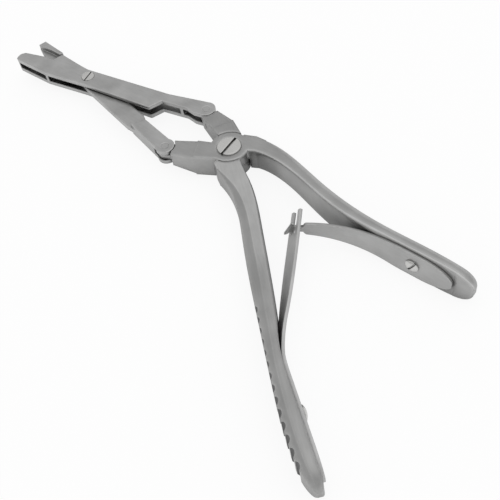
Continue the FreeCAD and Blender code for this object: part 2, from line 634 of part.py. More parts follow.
def handle_front(body, arm, direction, outward, shoulder):
    """Shoulder, arm and tongue of one handle; outward is the sign of the arm's outer side."""
    inward = "-" if outward == "" else ""
    sketch = new_sketch(body, arm + "_disc_plan")
    circle(sketch, "0", "0", "disc_radius")
    pad(body, arm + "_disc", sketch, twice("joint_half"))
    sketch = new_sketch(body, arm + "_shoulder_plan")
    outline(sketch, shoulder)
    pad(body, arm + "_shoulder", sketch, twice("joint_half"))
    sketch = new_sketch(body, arm + "_plan", angle=direction)
    outline(sketch, [
        ("arm_root", inward + arm + "_in_root"),
        ("arm_reach - fork_radius + running_gap", inward + arm + "_in_tip"),
        ("arm_reach - fork_radius + running_gap", outward + arm + "_out_tip"),
        ("arm_step_reach", outward + arm + "_out_root"),
        ("arm_root", outward + arm + "_out_root"),
    ])
    pad(body, arm, sketch, twice("joint_half"))
    sketch = new_sketch(body, arm + "_side", role="XZ_Plane", angle=direction, axis=(0, 1, 0))
    for sign, other in (("", "-"), ("-", "+")):
        outline(sketch, [
            ("arm_step_reach", "%sjoint_half %s arm_step" % (sign, other)),
            ("arm_reach - fork_radius", sign + "jaw_half"),
            ("arm_reach + margin", sign + "jaw_half"),
            ("arm_reach + margin", sign + "margin"),
            ("arm_step_reach", sign + "margin"),
        ])
    pocket(body, arm + "_taper", sketch, twice("margin"))
    sketch = new_sketch(body, arm + "_nest_plan", angle=direction)
    circle(sketch, "arm_reach", "0", "fork_radius + running_gap")
    pocket(body, arm + "_nest", sketch, twice("margin"))
    sketch = new_sketch(body, arm + "_tongue_plan", angle=direction)
    outline(sketch, [
        ("tongue_root", "-tongue_radius"),
        ("arm_reach", "-tongue_radius"),
        ("arm_reach", "tongue_radius"),
        ("tongue_root", "tongue_radius"),
    ])
    pad(body, arm + "_tongue", sketch, twice("blade_half"))
    sketch = new_sketch(body, arm + "_tongue_end_plan", angle=direction)
    circle(sketch, "arm_reach", "0", "tongue_radius")
    pad(body, arm + "_tongue_end", sketch, twice("blade_half"))
    sketch = new_sketch(body, arm + "_pin_plan", angle=direction)
    circle(sketch, "arm_reach", "0", "arm_pin_radius + pin_fit")
    pocket(body, arm + "_pin_bore", sketch, twice("margin"))


def half_lap(body, handle, upper):
    """Room for the other handle's disc, which leaves half of this one, and the screw bore."""
    gap = "lap_half_gap" if upper else "-lap_half_gap"
    sketch = new_sketch(body, handle + "_lap_room_plan", offset={"z": gap})
    circle(sketch, "0", "0", "disc_radius + running_gap")
    pocket(body, handle + "_lap_room", sketch, formula("margin"), both=False, back=not upper)
    sketch = new_sketch(body, handle + "_main_bore_plan")
    circle(sketch, "0", "0", "main_screw_radius + pin_fit")
    pocket(body, handle + "_main_bore", sketch, twice("margin"))


def rest_flat(body, handle):
    """The narrow flat under a handle, on which it lies."""
    sketch = new_sketch(body, handle + "_rest_plan", offset={"z": "-rest_height"})
    outline(sketch, [("0", "-margin"), ("lower_leaf_end + margin", "-margin"),
                     ("lower_leaf_end + margin", "margin"), ("0", "margin")])
    pocket(body, handle + "_rest", sketch, formula("margin"), both=False)


def leaf_seat(body, handle, side, low, high, screw, face, turn=None):
    """The seat of a leaf on the inner face of a handle, and the hole of the leaf screw in it.

    Both are drawn from the line where the leaf parts from the handle. The seat is flat under
    the held part of the leaf and falls away in an arc before that line."""
    sketch = new_sketch(body, handle + "_seat_plan", offset={"x": low, "y": face}, angle=turn)
    rise = "%s%s_seat_rise" % (side, handle)
    arc_side = -1 if side == "-" else 1
    outline(sketch, [
        (high + " - " + low, "0"),
        (high + " - " + low, side + "margin + " + side + "margin"),
        ("-seat_lead", side + "margin + " + side + "margin"),
        ("-seat_lead", rise, handle + "_seat_bend", -arc_side),
        ("0", "0"),
    ])
    pocket(body, handle + "_seat", sketch, twice("margin"))
    sketch = new_sketch(body, handle + "_leaf_bore_plan", role="XZ_Plane",
                        offset={"x": low, "z": face.replace("-", "")}, angle=turn, axis=(0, 1, 0))
    circle(sketch, screw + " - " + low, "0", "leaf_screw_radius + pin_seat_fit")
    pocket(body, handle + "_leaf_bore", sketch, formula("leaf_screw_length + running_gap"),
           both=False, back=side == "")


# Upper handle: upper disc, lower arm, and the handle behind

upper_handle = new_body("upper_handle")
handle_front(upper_handle, "lower_arm", "180deg + " + ARM_ANGLE, "", [
    ("upper_shoulder_foot", "upper_shoulder_low"),
    ("upper_shoulder_in", "upper_shoulder_low"),
    ("upper_section_0_at", "upper_section_0_low"),
    ("upper_section_0_at", "upper_section_0_high"),
    ("upper_shoulder_mid", "upper_shoulder_top"),
    ("upper_shoulder_foot", "upper_shoulder_rise"),
])
grip_loft(upper_handle, "upper", "", len(UPPER_GRIP))
rest_flat(upper_handle, "upper")
half_lap(upper_handle, "upper", True)
sketch = new_sketch(upper_handle, "upper_sink_plan", offset={"z": "joint_half"})
circle(sketch, "0", "0", "main_head_radius + pin_fit")
pocket(upper_handle, "upper_sink", sketch, formula("main_head_sink"), both=False)
leaf_seat(upper_handle, "upper", "-", "upper_leaf_lift",
          "upper_leaf_end + running_gap", "upper_leaf_screw_reach", "-upper_face")
place(upper_handle)

# Lower handle: lower disc, upper arm, and the notched handle behind

lower_handle = new_body("lower_handle")
handle_front(lower_handle, "upper_arm",
             "180deg - " + ARM_ANGLE + " + Sizes.lower_grip_angle * 1deg", "-", [
    ("lower_shoulder_foot", "-lower_shoulder_low"),
    ("lower_shoulder_mid", "-lower_shoulder_drop"),
    ("lower_section_0_at", "lower_section_0_low"),
    ("lower_section_0_at", "lower_section_0_high"),
    ("lower_shoulder_in", "lower_shoulder_high"),
    ("lower_shoulder_foot", "lower_shoulder_high"),
])
grip_loft(lower_handle, "lower", "-", len(LOWER_GRIP))
rest_flat(lower_handle, "lower")
half_lap(lower_handle, "lower", False)
leaf_seat(lower_handle, "lower", "", "lower_leaf_lift",
          "lower_leaf_end + running_gap", "lower_leaf_screw_reach", "-lower_face",
          turn="Sizes.lower_seat_turn * 1deg")
sketch = new_sketch(lower_handle, "notch_plan")
for number in range(NOTCHES):
    circle(sketch, "notch_%s_at" % number, "notch_%s_out" % number, "notch_radius")
pocket(lower_handle, "notches", sketch, twice("margin"))
place(lower_handle, angle="-Sizes.lower_grip_angle * 1deg")


def slotted_screw(name, words, foot, seat):
    """A screw along Z with a flat bevelled head, from its foot up to its seat."""
    body = new_body(name)
    shank = words + "_screw_radius"
    head = words + "_head_radius"
    rim = words + "_head_rim"
    top = "%s + %s_head_rise" % (seat, words)
    sketch = new_sketch(body, name + "_profile", role="XZ_Plane")
    under = "%s - %s_head_sink" % (seat, words)
    outline(sketch, [
        ("0", "-" + foot), (shank, "-" + foot), (shank, under), (head, under),
        (head, top + " - " + rim), (head + " - " + rim, top), ("0", top),
    ])
    turn = body.newObject("PartDesign::Revolution", name + "_turned")
    turn.Profile = sketch
    turn.ReferenceAxis = (sketch, ["V_Axis"])
    turn.Angle = 360
    sketch.Visibility = False
    sketch = new_sketch(body, name + "_slot_plan", offset={"z": top},
                        angle="Sizes.%s_slot_turn * 1deg" % words)
    half = words + "_slot_half"
    outline(sketch, [("-margin", "-" + half), ("margin", "-" + half),
                     ("margin", half), ("-margin", half)])
    pocket(body, name + "_slot", sketch, formula(words + "_slot_depth"), both=False)
    return body


main_screw = slotted_screw("main_screw", "main", "joint_half", "joint_half")
place(main_screw)
jaw_screw = slotted_screw("jaw_screw", "jaw", "jaw_half", "jaw_half")
place(jaw_screw, x=JAW_X, angle=BAR_ANGLE)

# Arm pins, ground flush with the fork plates

for name, y_text in (("upper_arm_pin", "Sizes.pin_offset"), ("lower_arm_pin", "-Sizes.pin_offset")):
    pin = doc.addObject("Part::Cylinder", name)
    pin.Label = name
    pin.setExpression("Radius", "Sizes.arm_pin_radius")
    pin.setExpression("Height", "2 * Sizes.jaw_half")
    place(pin, x=PIN_X, y=y_text, z="Sizes.rest_height - Sizes.jaw_half")

# Leaf springs: a flat strip bent once, trimmed to width; origin where the leaf leaves its handle


def leaf(name, side, end, bend, sweep, free):
    """The strip in plan. side is the sign of the direction it bends to."""
    body = new_body(name, name + "_spring")
    sketch = new_sketch(body, name + "_plan")
    arc_side = -1 if side == "-" else 1
    corners = [(end, "0"), ("0", "0", bend, arc_side), ("-%s_back_x" % name, side + name + "_back_y")]
    if free:
        corners.append(("-%s_back_end_x" % name, side + name + "_back_end_y"))
        corners.append(("-%s_face_end_x" % name, side + name + "_face_end_y"))
    corners.append(("-%s_face_x" % name, side + name + "_face_y",
                    bend + " - leaf_thickness", -arc_side))
    corners.append(("0", side + "leaf_thickness"))
    corners.append((end, side + "leaf_thickness"))
    outline(sketch, corners)
    pad(body, name + "_strip", sketch, twice("margin"))
    return body


def trim(body, name, corners):
    """Cut the strip to its width; corners run along its upper edge, and the lower mirrors it."""
    sketch = new_sketch(body, name + "_side", role="XZ_Plane")
    first = corners[0][0] + " + margin"
    last = corners[-1][0] + " - margin"
    for sign in ("", "-"):
        line = [(first, sign + corners[0][1])]
        line += [(x_text, sign + z_text) for x_text, z_text in corners]
        line += [(last, sign + corners[-1][1])]
        far = "margin + margin" if sign == "" else "-margin - margin"
        line += [(last, far), (first, far)]
        outline(sketch, line)
    pocket(body, name + "_trim", sketch, formula("leaf_cut"))


upper_leaf = leaf("upper_leaf", "-", "upper_leaf_end - upper_leaf_lift", "upper_leaf_bend",
                  "upper_leaf_sweep", False)
trim(upper_leaf, "upper_leaf", [
    ("upper_leaf_end - upper_leaf_lift", "leaf_end_half"),
    ("upper_leaf_end - upper_leaf_lift - leaf_end_shoulder", "leaf_end_shoulder_half"),
    ("upper_leaf_end - upper_leaf_lift - leaf_end_round", "leaf_end_round_half"),
    ("upper_leaf_screw_reach - upper_leaf_lift", "upper_leaf_half"),
    ("upper_leaf_screw_reach - upper_leaf_lift - upper_leaf_wide", "upper_leaf_half"),
    ("-upper_leaf_neck", "upper_leaf_neck_root_half"),
    ("-upper_leaf_neck - upper_leaf_tongue", "upper_leaf_neck_half"),
    ("-upper_leaf_face_x + upper_leaf_bar", "upper_leaf_neck_half"),
    ("-upper_leaf_face_x + upper_leaf_bar", "upper_leaf_bar_half"),
    ("-upper_leaf_back_x - running_gap", "upper_leaf_bar_half"),
])
sketch = new_sketch(upper_leaf, "upper_leaf_hole_plan", role="XZ_Plane")
circle(sketch, "upper_leaf_screw_reach - upper_leaf_lift", "0", "leaf_screw_radius + pin_fit")
pocket(upper_leaf, "upper_leaf_hole", sketch, twice("margin"))
place(upper_leaf, x="Sizes.upper_leaf_lift", y="-Sizes.upper_face")

lower_leaf = leaf("lower_leaf", "", "lower_leaf_end - lower_leaf_lift", "lower_leaf_bend",
                  "lower_leaf_sweep", True)
trim(lower_leaf, "lower_leaf", [
    ("lower_leaf_end - lower_leaf_lift", "leaf_end_half"),
    ("lower_leaf_end - lower_leaf_lift - leaf_end_shoulder", "leaf_end_shoulder_half"),
    ("lower_leaf_end - lower_leaf_lift - leaf_end_round", "leaf_end_round_half"),
    ("lower_leaf_screw_reach - lower_leaf_lift", "lower_leaf_half"),
    ("lower_leaf_screw_reach - lower_leaf_lift - lower_leaf_wide", "lower_leaf_half"),
    ("-lower_leaf_face_end_x", "lower_leaf_tip_half"),
])
sketch = new_sketch(lower_leaf, "lower_leaf_holes_plan", role="XZ_Plane")
circle(sketch, "lower_leaf_screw_reach - lower_leaf_lift", "0", "leaf_screw_radius + pin_fit")
outline(sketch, [
    ("-lower_leaf_face_end_x + leaf_fork_depth", "-leaf_fork_half"),
    ("-lower_leaf_face_end_x + leaf_fork_depth", "leaf_fork_half"),
    ("-lower_leaf_face_end_x - margin", "leaf_fork_half"),
    ("-lower_leaf_face_end_x - margin", "-leaf_fork_half"),
])
pocket(lower_leaf, "lower_leaf_holes", sketch, formula("leaf_cut"))
GRIP = "(Sizes.lower_grip_angle * 1deg)"
HELD = "((Sizes.lower_grip_angle - Sizes.lower_seat_turn) * 1deg)"
LIFT_X = "(Sizes.lower_leaf_lift * cos%s - Sizes.lower_face * sin%s)" % (GRIP, GRIP)
LIFT_Y = "(-Sizes.lower_leaf_lift * sin%s - Sizes.lower_face * cos%s)" % (GRIP, GRIP)
place(lower_leaf, x=LIFT_X, y=LIFT_Y, angle="-" + HELD)


def leaf_screw(name):
    """A domed slotted screw along Y; its origin is on the leaf and its shank runs to +Y."""
    body = new_body(name)
    sketch = new_sketch(body, name + "_profile")
    outline(sketch, [
        ("0", "-leaf_head_rise", "leaf_head_dome", -1),
        ("leaf_head_radius", "-leaf_head_rim"),
        ("leaf_head_radius", "0"),
        ("leaf_screw_radius", "0"),
        ("leaf_screw_radius", "leaf_thickness + leaf_screw_length"),
        ("0", "leaf_thickness + leaf_screw_length"),
    ])
    turn = body.newObject("PartDesign::Revolution", name + "_turned")
    turn.Profile = sketch
    turn.ReferenceAxis = (sketch, ["V_Axis"])
    turn.Angle = 360
    sketch.Visibility = False
    sketch = new_sketch(body, name + "_slot_plan", role="XZ_Plane",
                        offset={"z": "leaf_head_rise + running_gap"},
                        angle="Sizes.leaf_slot_turn * 1deg")
    outline(sketch, [("-margin", "-leaf_slot_half"), ("margin", "-leaf_slot_half"),
                     ("margin", "leaf_slot_half"), ("-margin", "leaf_slot_half")])
    pocket(body, name + "_slot", sketch, formula("leaf_slot_depth + running_gap"), both=False)
    return body


upper_leaf_screw = leaf_screw("upper_leaf_screw")
place(upper_leaf_screw, x="Sizes.upper_leaf_screw_reach",
      y="-Sizes.upper_face - Sizes.leaf_thickness")
lower_leaf_screw = leaf_screw("lower_leaf_screw")
REACH = "(Sizes.lower_leaf_screw_reach - Sizes.lower_leaf_lift)"
place(lower_leaf_screw,
      x="%s + %s * cos%s + Sizes.leaf_thickness * sin%s" % (LIFT_X, REACH, HELD, HELD),
      y="%s - %s * sin%s + Sizes.leaf_thickness * cos%s" % (LIFT_Y, REACH, HELD, HELD),
      angle="180deg - " + HELD)

doc.recompute()

NODES = [
    upper_handle, lower_handle, main_screw, box_jaw, through_jaw, jaw_screw,
    doc.getObject("upper_arm_pin"), doc.getObject("lower_arm_pin"),
    upper_leaf, lower_leaf, upper_leaf_screw, lower_leaf_screw,
]
for item in doc.Objects:
    if "Invalid" in item.State or "Error" in item.State:
        raise RuntimeError("%s could not be made: %s" % (item.Label, item.State))
for node in NODES:
    shape = node.Shape
    if shape.isNull() or not shape.isValid():
        raise RuntimeError("%s has no valid shape" % node.Label)
    if len(shape.Solids) != 1:
        raise RuntimeError("%s has %d solids" % (node.Label, len(shape.Solids)))
for node in NODES:
    node.Shape.exportStep(os.path.join(OUT, node.Label + ".step"))
    box = node.Shape.BoundBox
    print("%-18s %7.2f %7.2f %7.2f  %7.2f %7.2f %7.2f" % (
        node.Label, box.XMin, box.YMin, box.ZMin, box.XMax, box.YMax, box.ZMax))
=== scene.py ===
import math

import bmesh
import bpy
import numpy as np
from mathutils import Euler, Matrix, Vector


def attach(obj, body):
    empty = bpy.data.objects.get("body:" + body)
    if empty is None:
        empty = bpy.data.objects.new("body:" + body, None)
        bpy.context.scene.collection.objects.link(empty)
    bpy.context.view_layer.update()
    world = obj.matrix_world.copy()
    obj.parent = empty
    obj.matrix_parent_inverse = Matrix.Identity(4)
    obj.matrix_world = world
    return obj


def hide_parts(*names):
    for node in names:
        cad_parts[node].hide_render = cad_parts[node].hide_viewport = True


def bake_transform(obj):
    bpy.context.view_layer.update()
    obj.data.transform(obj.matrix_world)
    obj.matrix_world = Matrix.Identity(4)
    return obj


bl_info = {
    "name": "Septum Forceps Looks",
    "version": (1, 0, 0),
    "blender": (4, 5, 0),
    "location": "3D View > Sidebar > Forceps",
    "description": "Satin steel finish, leaf springs and studio stage for double action septum forceps",
    "category": "Object",
}

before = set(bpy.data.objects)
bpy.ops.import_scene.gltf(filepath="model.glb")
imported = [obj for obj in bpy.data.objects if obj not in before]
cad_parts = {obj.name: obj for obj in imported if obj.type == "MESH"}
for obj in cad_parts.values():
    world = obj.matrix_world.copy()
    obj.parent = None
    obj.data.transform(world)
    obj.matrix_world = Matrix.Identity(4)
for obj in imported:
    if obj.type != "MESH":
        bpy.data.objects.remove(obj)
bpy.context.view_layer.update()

RIDES = {"main_screw": "upper_frame", "jaw_screw": "female_jaw",
         "upper_leaf_screw": "upper_frame", "lower_leaf_screw": "lower_frame"}

# Direction of the lower handle's axis; the upper handle's axis is the X axis
LOWER_GRIP_TURN = math.radians(-38.7)

# Grip notches in the lower handle, in metres along its axis and out from it
NOTCHES = 14
NOTCH_FIRST = 0.0553
NOTCH_PITCH = 0.00305
NOTCH_RADIUS = 0.00115
NOTCH_DEPTH = 0.0005
NOTCH_LINE = 0.00395
NOTCH_BULGE = 0.0006
NOTCH_FALL = 0.00045
NOTCH_MARGIN = 0.00008

# Share of the lower leaf's length at which its step works out an end point, which nothing uses
BLEND_SHARE = 0.75


# Sizes and colours that a user would change


class ForcepsFinish(bpy.types.PropertyGroup):
    """Colours and grain of the satin steel."""

    handle_colour: bpy.props.FloatVectorProperty(
        name="Handle steel", description="Satin steel of the handles and arms",
        default=(0.47, 0.47, 0.465), size=3, min=0.0, max=1.0, subtype="COLOR")
    jaw_colour: bpy.props.FloatVectorProperty(
        name="Jaw steel", description="Satin steel of both jaws",
        default=(0.54, 0.54, 0.535), size=3, min=0.0, max=1.0, subtype="COLOR")
    screw_colour: bpy.props.FloatVectorProperty(
        name="Screw steel", description="Finely ground steel of the screws",
        default=(0.76, 0.755, 0.74), size=3, min=0.0, max=1.0, subtype="COLOR")
    spring_colour: bpy.props.FloatVectorProperty(
        name="Spring steel", description="Leaf springs",
        default=(0.53, 0.53, 0.525), size=3, min=0.0, max=1.0, subtype="COLOR")
    # Lighter broken edges: partly polish from handling, partly a painted highlight
    polish_and_highlight_colour: bpy.props.FloatVectorProperty(
        name="Worn edge", description="Edges that handling has polished",
        default=(0.66, 0.66, 0.65), size=3, min=0.0, max=1.0, subtype="COLOR")
    # Painted shade in the grip notches
    notch_shade_colour: bpy.props.FloatVectorProperty(
        name="Notches", description="Dull steel in the grip notches",
        default=(0.16, 0.16, 0.16), size=3, min=0.0, max=1.0, subtype="COLOR")
    # Painted highlight on the inner bevel of the upper handle
    bevel_highlight_colour: bpy.props.FloatVectorProperty(
        name="Inner bevel", description="Bright inner bevel of the upper handle",
        default=(0.74, 0.74, 0.735), size=3, min=0.0, max=1.0, subtype="COLOR")
    grain: bpy.props.FloatProperty(
        name="Grain", description="Length of one blasted grain",
        default=0.00022, min=0.00005, max=0.002, precision=5, subtype="DISTANCE", unit="LENGTH")
    edge_width: bpy.props.FloatProperty(
        name="Edge rounding", description="Width of the broken edges",
        default=0.00022, min=0.0, max=0.001, precision=5, subtype="DISTANCE", unit="LENGTH")


class LeafSprings(bpy.types.PropertyGroup):
    """Shape of the two leaf springs, each from the line where it leaves its handle."""

    thickness: bpy.props.FloatProperty(
        name="Thickness", description="Thickness of both leaves",
        default=0.0008, min=0.0003, max=0.002, precision=4, subtype="DISTANCE", unit="LENGTH")
    upper_place: bpy.props.FloatVectorProperty(
        name="Upper leaf place", description="Where the upper leaf leaves its handle",
        default=(0.06043, 0.02264, 0.00525), size=3, subtype="TRANSLATION", unit="LENGTH")
    upper_seat: bpy.props.FloatProperty(
        name="Upper leaf seat", description="Straight stretch held by the screw",
        default=0.0184, min=0.0, max=0.05, precision=4, subtype="DISTANCE", unit="LENGTH")
    upper_bend: bpy.props.FloatProperty(
        name="Upper leaf bend", description="Bend radius of the upper leaf",
        default=0.042, min=0.01, max=0.2, precision=4, subtype="DISTANCE", unit="LENGTH")
    upper_sweep: bpy.props.FloatProperty(
        name="Upper leaf sweep", description="Angle of the bend",
        default=math.radians(36.9), min=0.0, max=1.2, subtype="ANGLE", unit="ROTATION")
    lower_place: bpy.props.FloatVectorProperty(
        name="Lower leaf place", description="Where the lower leaf leaves its handle",
        default=(0.062401, -0.020663, 0.00525), size=3, subtype="TRANSLATION", unit="LENGTH")
    lower_turn: bpy.props.FloatProperty(
        name="Lower leaf direction", description="Direction of the lower leaf's seat",
        default=math.radians(-35.2), min=-1.5, max=0.0, subtype="ANGLE", unit="ROTATION")
    lower_seat: bpy.props.FloatProperty(
        name="Lower leaf seat", description="Straight stretch held by the screw",
        default=0.0244, min=0.0, max=0.05, precision=4, subtype="DISTANCE", unit="LENGTH")
    lower_bend: bpy.props.FloatProperty(
        name="Lower leaf bend", description="Bend radius of the lower leaf",
        default=0.04, min=0.01, max=0.2, precision=4, subtype="DISTANCE", unit="LENGTH")
    lower_sweep: bpy.props.FloatProperty(
        name="Lower leaf sweep", description="Angle of the bend",
        default=math.radians(23.0), min=0.0, max=1.2, subtype="ANGLE", unit="ROTATION")
    lower_twist: bpy.props.FloatProperty(
        name="Lower leaf twist", description="Turn of the lower leaf about its own length",
        default=math.radians(29.0), min=-1.0, max=1.0, subtype="ANGLE", unit="ROTATION")
    lower_free: bpy.props.FloatProperty(
        name="Lower leaf free end", description="Straight stretch behind the bend",
        default=0.0338, min=0.0, max=0.06, precision=4, subtype="DISTANCE", unit="LENGTH")


class ForcepsScrews(bpy.types.PropertyGroup):
    """The slotted screws; each place is the top of the head, before its dome falls off."""

    main_radius: bpy.props.FloatProperty(
        name="Main screw head", description="Radius of the head",
        default=0.00345, min=0.001, max=0.006, precision=5, subtype="DISTANCE", unit="LENGTH")
    main_turn: bpy.props.FloatProperty(
        name="Main screw slot", description="Direction of the slot",
        default=math.radians(96.0), subtype="ANGLE", unit="ROTATION")
    main_place: bpy.props.FloatVectorProperty(
        name="Main screw place", description="Top of the main screw",
        default=(0.00543, 0.02594, 0.0091), size=3, subtype="TRANSLATION", unit="LENGTH")
    jaw_radius: bpy.props.FloatProperty(
        name="Jaw screw head", description="Radius of the head",
        default=0.00205, min=0.001, max=0.004, precision=5, subtype="DISTANCE", unit="LENGTH")
    jaw_turn: bpy.props.FloatProperty(
        name="Jaw screw slot", description="Direction of the slot",
        default=math.radians(105.0), subtype="ANGLE", unit="ROTATION")
    jaw_place: bpy.props.FloatVectorProperty(
        name="Jaw screw place", description="Top of the jaw screw",
        default=(-0.055051, 0.02594, 0.00767), size=3, subtype="TRANSLATION", unit="LENGTH")
    leaf_radius: bpy.props.FloatProperty(
        name="Leaf screw head", description="Radius of the heads",
        default=0.0019, min=0.001, max=0.004, precision=5, subtype="DISTANCE", unit="LENGTH")
    leaf_dome: bpy.props.FloatProperty(
        name="Leaf screw dome", description="Fall of the domed head towards its rim",
        default=0.00055, min=0.0, max=0.0008, precision=5, subtype="DISTANCE", unit="LENGTH")
    leaf_turn: bpy.props.FloatProperty(
        name="Leaf screw slots", description="Direction of the slots",
        default=math.radians(61.0), subtype="ANGLE", unit="ROTATION")
    upper_leaf_place: bpy.props.FloatVectorProperty(
        name="Upper leaf screw place", description="Top of the screw of the upper leaf",
        default=(0.06803, 0.02089, 0.00525), size=3, subtype="TRANSLATION", unit="LENGTH")
    lower_leaf_place: bpy.props.FloatVectorProperty(
        name="Lower leaf screw place", description="Top of the screw of the lower leaf",
        default=(0.070519, -0.024248, 0.00525), size=3, subtype="TRANSLATION", unit="LENGTH")
    lower_leaf_lean: bpy.props.FloatProperty(
        name="Lower leaf screw direction", description="Turn of the screw about Z",
        default=math.radians(144.8), subtype="ANGLE", unit="ROTATION")


class ForcepsStage(bpy.types.PropertyGroup):
    """Floor, light and camera."""

    floor_colour: bpy.props.FloatVectorProperty(
        name="Floor", description="Plain pale floor",
        default=(0.9, 0.9, 0.9), size=3, min=0.0, max=1.0, subtype="COLOR")
    floor_glow: bpy.props.FloatProperty(
        name="Floor glow", description="Share of plain white in the floor that the camera sees",
        default=0.84, min=0.0, max=1.0)
    mirrored_glow: bpy.props.FloatProperty(
        name="Mirrored glow", description="Share of plain white in the floor that steel mirrors",
        default=0.42, min=0.0, max=1.0)
    world_light: bpy.props.FloatProperty(
        name="World light", description="Strength of the even light from all round",
        default=0.75, min=0.0, max=5.0)
    lamp_power: bpy.props.FloatProperty(
        name="Lamp", description="Power of the soft lamp overhead",
        default=0.7, min=0.0, max=20.0, unit="POWER")
    camera_place: bpy.props.FloatVectorProperty(
        name="Camera place", description="Where the camera stands",
        default=(0.12087, -0.07472, 0.15780), size=3, subtype="TRANSLATION", unit="LENGTH")
    camera_turn: bpy.props.FloatVectorProperty(
        name="Camera turn", description="Turn of the camera about X, Y and Z",
        default=(math.radians(37.181), math.radians(7.148), math.radians(39.645)),
        size=3, subtype="EULER", unit="ROTATION")
    lens: bpy.props.FloatProperty(
        name="Lens", description="Focal length on a 36 mm sensor",
        default=54.0, min=20.0, max=200.0)


# Finishes


def add_node(tree, kind, inputs=None, **settings):
    """A shader node with its settings; each input is set to a value or linked from a socket."""
    node = tree.nodes.new(kind)
    for name, value in settings.items():
        setattr(node, name, value)
    for key, value in (inputs or {}).items():
        if isinstance(value, bpy.types.NodeSocket):
            tree.links.new(value, node.inputs[key])
        else:
            node.inputs[key].default_value = value
    return node


def empty_tree(owner):
    """The cleared shader nodes of a new material or world."""
    owner.use_nodes = True
    owner.node_tree.nodes.clear()
    return owner.node_tree


def hollow_shade(tree, reach, shaded):
    """1 on open steel, falling to the shaded share where other steel within the reach hides it."""
    hollow = add_node(tree, "ShaderNodeAmbientOcclusion", {"Distance": reach}, samples=8)
    shade = add_node(tree, "ShaderNodeMapRange",
                     {"Value": hollow.outputs["AO"], "From Min": 0.25, "From Max": 0.8,
                      "To Min": shaded})
    return shade.outputs["Result"]


def painted_edge_highlight(tree, rounded_normal, edge_highlight):
    """Painted highlight along edges: 1 on flat steel and 1 + the given share at an edge, from the
    cosine between the rounded normal and the true one: it starts at 0.999 and is full at 0.9."""
    flat = add_node(tree, "ShaderNodeNewGeometry").outputs["True Normal"]
    bent = add_node(tree, "ShaderNodeVectorMath", {0: rounded_normal, 1: flat},
                    operation="DOT_PRODUCT")
    gain = add_node(tree, "ShaderNodeMapRange",
                    {"Value": bent.outputs["Value"], "From Min": 0.999, "From Max": 0.9,
                     "To Min": 1.0, "To Max": 1.0 + edge_highlight},
                    interpolation_type="SMOOTHSTEP")
    return gain.outputs["Result"]


def painted_light_fade(tree, place, gain, turn, fade):
    """Painted light: the gain times 1 + the third number of fade up to its first place along the
    turned X axis, falling evenly to the gain alone at its second place."""
    way = add_node(tree, "ShaderNodeVectorMath",
                   {0: place, 1: (math.cos(turn), math.sin(turn), 0.0)},
                   operation="DOT_PRODUCT")
    fall = add_node(tree, "ShaderNodeMapRange",
                    {"Value": way.outputs["Value"], "From Min": fade[0], "From Max": fade[1],
                     "To Min": 1.0 + fade[2], "To Max": 1.0})
    both = add_node(tree, "ShaderNodeMath", {0: gain, 1: fall.outputs["Result"]},
                    operation="MULTIPLY")
    return both.outputs["Value"]


def satin_steel(name, colour, roughness, grain, turn=0.0, lift=0.08, rounded=0.0002,
                edge_highlight=0.0, shaded=0.35, reach=0.009, relief=0.05, sway=0.25, metal=1.0,
                fade=None):
    """Satin steel: a metal whose colour drifts by a broad soft cloud, whose roughness and
    surface follow fine grinding marks drawn out along the turned X axis, and whose surface
    sways a little over several millimetres, as hand finished steel does.

    Near its edges, within the rounded width, the steel is lighter by the given share, a painted
    highlight; in hollows, within the reach, it is darker, down to the shaded share, a painted shade.
    With fade it is lighter by the third number up to the first place along the turned X axis, a
    painted light, and plain from the second."""
    finish = bpy.data.materials.new(name)
    tree = empty_tree(finish)
    place = add_node(tree, "ShaderNodeTexCoord").outputs["Object"]
    cloud = add_node(tree, "ShaderNodeTexNoise",
                     {"Vector": place, "Scale": 130.0, "Detail": 3.0}).outputs["Fac"]
    drawn = add_node(tree, "ShaderNodeMapping",
                     {"Vector": place, "Rotation": (0.0, 0.0, turn), "Scale": (9.0, 1.0, 1.0)},
                     vector_type="TEXTURE").outputs["Vector"]
    marks = add_node(tree, "ShaderNodeTexNoise",
                     {"Vector": drawn, "Scale": 0.5 / grain, "Detail": 4.0}).outputs["Fac"]
    tint = add_node(tree, "ShaderNodeValToRGB", {"Fac": cloud})
    for stop, position, level in zip(tint.color_ramp.elements, (0.3, 0.7), (1 - lift, 1 + lift)):
        stop.position = position
        stop.color = [min(1.0, c * level) for c in colour] + [1.0]
    speckled = add_node(tree, "ShaderNodeMix",
                        {"Factor": 0.2, 6: tint.outputs["Color"], 7: marks},
                        data_type="RGBA", blend_type="SOFT_LIGHT").outputs[2]
    darker = add_node(tree, "ShaderNodeMix",
                      {"Factor": 1.0, 6: speckled, 7: hollow_shade(tree, reach, shaded)},
                      data_type="RGBA", blend_type="MULTIPLY").outputs[2]
    soft = add_node(tree, "ShaderNodeBevel", {"Radius": rounded}, samples=6).outputs["Normal"]
    # Painted highlight: the steel is lighter along its edges
    gain = painted_edge_highlight(tree, soft, edge_highlight)
    # Painted light along the turned X axis
    if fade:
        gain = painted_light_fade(tree, place, gain, turn, fade)
    lighter = add_node(tree, "ShaderNodeVectorMath", {0: darker, "Scale": gain},
                       operation="SCALE")
    gloss = add_node(tree, "ShaderNodeMapRange",
                     {"Value": marks, "To Min": roughness - 0.07, "To Max": roughness + 0.07})
    waves = add_node(tree, "ShaderNodeBump",
                     {"Normal": soft, "Strength": sway, "Distance": 0.0008, "Height": cloud})
    bump = add_node(tree, "ShaderNodeBump",
                    {"Normal": waves.outputs["Normal"], "Strength": relief, "Distance": grain,
                     "Height": marks})
    shader = add_node(tree, "ShaderNodeBsdfPrincipled",
                      {"Base Color": lighter.outputs["Vector"], "Metallic": metal,
                       "Roughness": gloss.outputs["Result"], "Normal": bump.outputs["Normal"]})
    add_node(tree, "ShaderNodeOutputMaterial", {"Surface": shader.outputs["BSDF"]})
    return finish


def dress(name, *finishes):
    """Give a CAD node its steels; the last one is for its broken edges."""
    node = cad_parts[name]
    node.data.materials.clear()
    for finish in finishes:
        node.data.materials.append(finish)
    return node


